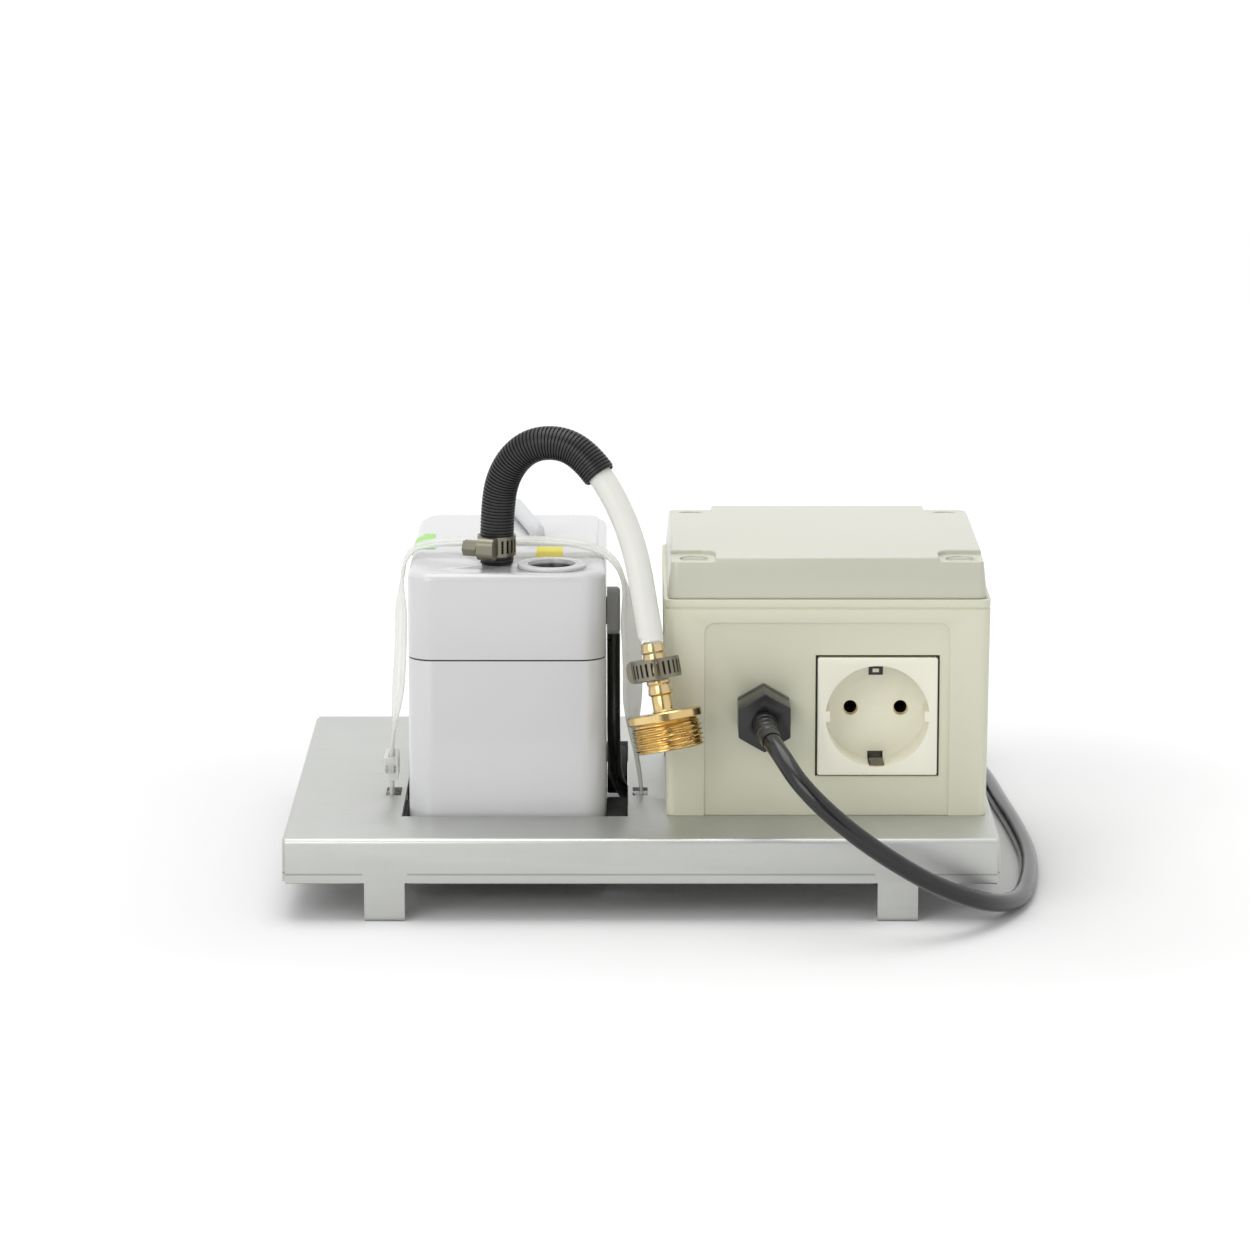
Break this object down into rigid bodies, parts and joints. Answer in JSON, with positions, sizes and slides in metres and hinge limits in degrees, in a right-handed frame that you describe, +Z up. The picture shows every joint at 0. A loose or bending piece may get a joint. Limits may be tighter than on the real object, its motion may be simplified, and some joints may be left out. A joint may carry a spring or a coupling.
{
  "type": "condensate pump",
  "caption": "Condensate pump on a folded sheet base: strapped pump tank with discharge hose and brass connector beside a wiring box with socket outlet, cable gland and mains lead.",
  "frame": {"origin": "on the floor, at the middle of the base's footprint", "axes": "+X to the right along the base's long side (pump at -X, wiring box at +X), +Y to the back, +Z up; the socket outlet and the gland face -Y"},
  "size_m": [0.2874, 0.408, 0.1784],
  "materials": {
    "galvanised": "hot-dip galvanised sheet, satin with faint spangle",
    "housing_plastic": "moulded, light grey white, semi-gloss",
    "vent_plastic": "light grey flexible tube",
    "seal_rubber": "soft black rubber",
    "gasket_foam": "foamed light grey seal",
    "inner_plastic": "moulded grey",
    "impeller_plastic": "moulded black, filled",
    "float_foam": "closed-cell foamed plastic",
    "ferrite": "sintered ferrite",
    "ball_rubber": "ground rubber ball",
    "screw_steel": "zinc plated",
    "laminations": "stacked laminations, lacquered",
    "winding_tape": "taped winding",
    "bracket_metal": "die cast",
    "bronze": "sintered bronze",
    "rotor_metal": "squirrel cage with turned surface",
    "shaft_steel": "ground stainless",
    "strap_plastic": "clear flexible plastic band",
    "buckle_plastic": "moulded, milky clear",
    "hose_plastic": "translucent soft tube",
    "sleeve_plastic": "black corrugated conduit",
    "fitting_brass": "machined",
    "clamp_steel": "zinc plated, faint yellow",
    "box_plastic": "moulded, light grey, fine texture",
    "lid_plastic": "moulded, light grey, fine texture",
    "socket_plastic": "moulded, cream",
    "frame_plastic": "moulded dark grey",
    "contact_brass": "stamped",
    "gland_plastic": "moulded, dark grey",
    "block_plastic": "moulded, off-white",
    "elbow_plastic": "soft moulded grey",
    "lead_jacket": "black flexible sheath",
    "plug_plastic": "moulded black",
    "pin_metal": "nickel plated"
  },
  "bodies": {
    "base": {"base_plate": "galvanised", "pump_cradle": "galvanised", "pump_tank": "housing_plastic", "pump_cover": "housing_plastic", "inlet_tube": "housing_plastic", "vent_tube": "vent_plastic", "tank_seal": "seal_rubber", "gland_seal": "seal_rubber", "entry_grommet": "seal_rubber", "motor_deck": "inner_plastic", "pump_column": "inner_plastic", "chamber_cover": "inner_plastic", "riser_pipe": "inner_plastic", "valve_body": "inner_plastic", "float_guide": "inner_plastic", "discharge_spigot": "inner_plastic", "pump_screws": "screw_steel", "box_screws": "screw_steel", "motor_core": "laminations", "motor_coil": "winding_tape", "motor_brackets": "bracket_metal", "shaft_bushes": "bronze", "strap": "strap_plastic", "strap_buckle": "buckle_plastic", "hose": "hose_plastic", "hose_sleeve": "sleeve_plastic", "hose_fitting": "fitting_brass", "upper_clamp_band": "clamp_steel", "lower_clamp_band": "clamp_steel", "box_body": "box_plastic", "socket_insert": "socket_plastic", "socket_frame": "frame_plastic", "socket_contacts": "contact_brass", "earth_clip": "contact_brass", "gland_body": "gland_plastic", "gland_locknut": "gland_plastic", "terminal_block": "block_plastic", "lead_elbow": "elbow_plastic", "pump_lead": "lead_jacket", "mains_lead": "lead_jacket", "mains_coil": "lead_jacket", "mains_plug": "plug_plastic", "plug_pins": "pin_metal"},
    "rotor": {"motor_rotor": "rotor_metal", "pump_shaft": "shaft_steel", "impeller": "impeller_plastic"},
    "float": {"level_float": "float_foam", "float_magnet": "ferrite"},
    "check_ball": {"check_ball": "ball_rubber"},
    "lid": {"box_lid": "lid_plastic", "lid_gasket": "gasket_foam"},
    "lid_screw_front_left": {"lid_screw_front_left": "lid_plastic"},
    "lid_screw_front_right": {"lid_screw_front_right": "lid_plastic"},
    "lid_screw_back_left": {"lid_screw_back_left": "lid_plastic"},
    "lid_screw_back_right": {"lid_screw_back_right": "lid_plastic"},
    "gland_nut": {"gland_nut": "gland_plastic"},
    "upper_clamp_screw": {"upper_clamp_screw": "clamp_steel"},
    "lower_clamp_screw": {"lower_clamp_screw": "clamp_steel"}
  },
  "joints": [
    {"name": "impeller_spin", "type": "hinge", "parent": "base", "child": "rotor", "pos_m": [-0.0505, 0.016, 0.06], "axis": [0, 0, 1], "continuous": true},
    {"name": "float_rise", "type": "slide", "parent": "base", "child": "float", "axis": [0, 0, 1], "range_m": [0, 0.018]},
    {"name": "ball_lift", "type": "slide", "parent": "base", "child": "check_ball", "axis": [0, 0, 1], "range_m": [0, 0.003]},
    {"name": "lid_lift", "type": "slide", "parent": "base", "child": "lid", "axis": [0, 0, 1], "range_m": [0, 0.06]},
    {"name": "lid_screw_front_left_turn", "type": "hinge", "parent": "lid", "child": "lid_screw_front_left", "pos_m": [0.0199, -0.0607, 0.12], "axis": [0, 0, -1], "range_deg": [0, 90]},
    {"name": "lid_screw_front_right_turn", "type": "hinge", "parent": "lid", "child": "lid_screw_front_right", "pos_m": [0.1199, -0.0607, 0.12], "axis": [0, 0, -1], "range_deg": [0, 90]},
    {"name": "lid_screw_back_left_turn", "type": "hinge", "parent": "lid", "child": "lid_screw_back_left", "pos_m": [0.0199, 0.0367, 0.12], "axis": [0, 0, -1], "range_deg": [0, 90]},
    {"name": "lid_screw_back_right_turn", "type": "hinge", "parent": "lid", "child": "lid_screw_back_right", "pos_m": [0.1199, 0.0367, 0.12], "axis": [0, 0, -1], "range_deg": [0, 90]},
    {"name": "gland_nut_turn", "type": "hinge", "parent": "base", "child": "gland_nut", "pos_m": [0.046, -0.08, 0.0716], "axis": [0, -1, 0], "continuous": true},
    {"name": "upper_clamp_turn", "type": "hinge", "parent": "base", "child": "upper_clamp_screw", "pos_m": [-0.05795, -0.05849, 0.1316], "axis": [0.9397, -0.342, 0], "continuous": true},
    {"name": "lower_clamp_turn", "type": "hinge", "parent": "base", "child": "lower_clamp_screw", "pos_m": [-0.00087, -0.08027, 0.08885], "axis": [-0.609, -0.7918, 0.0461], "continuous": true}
  ]
}
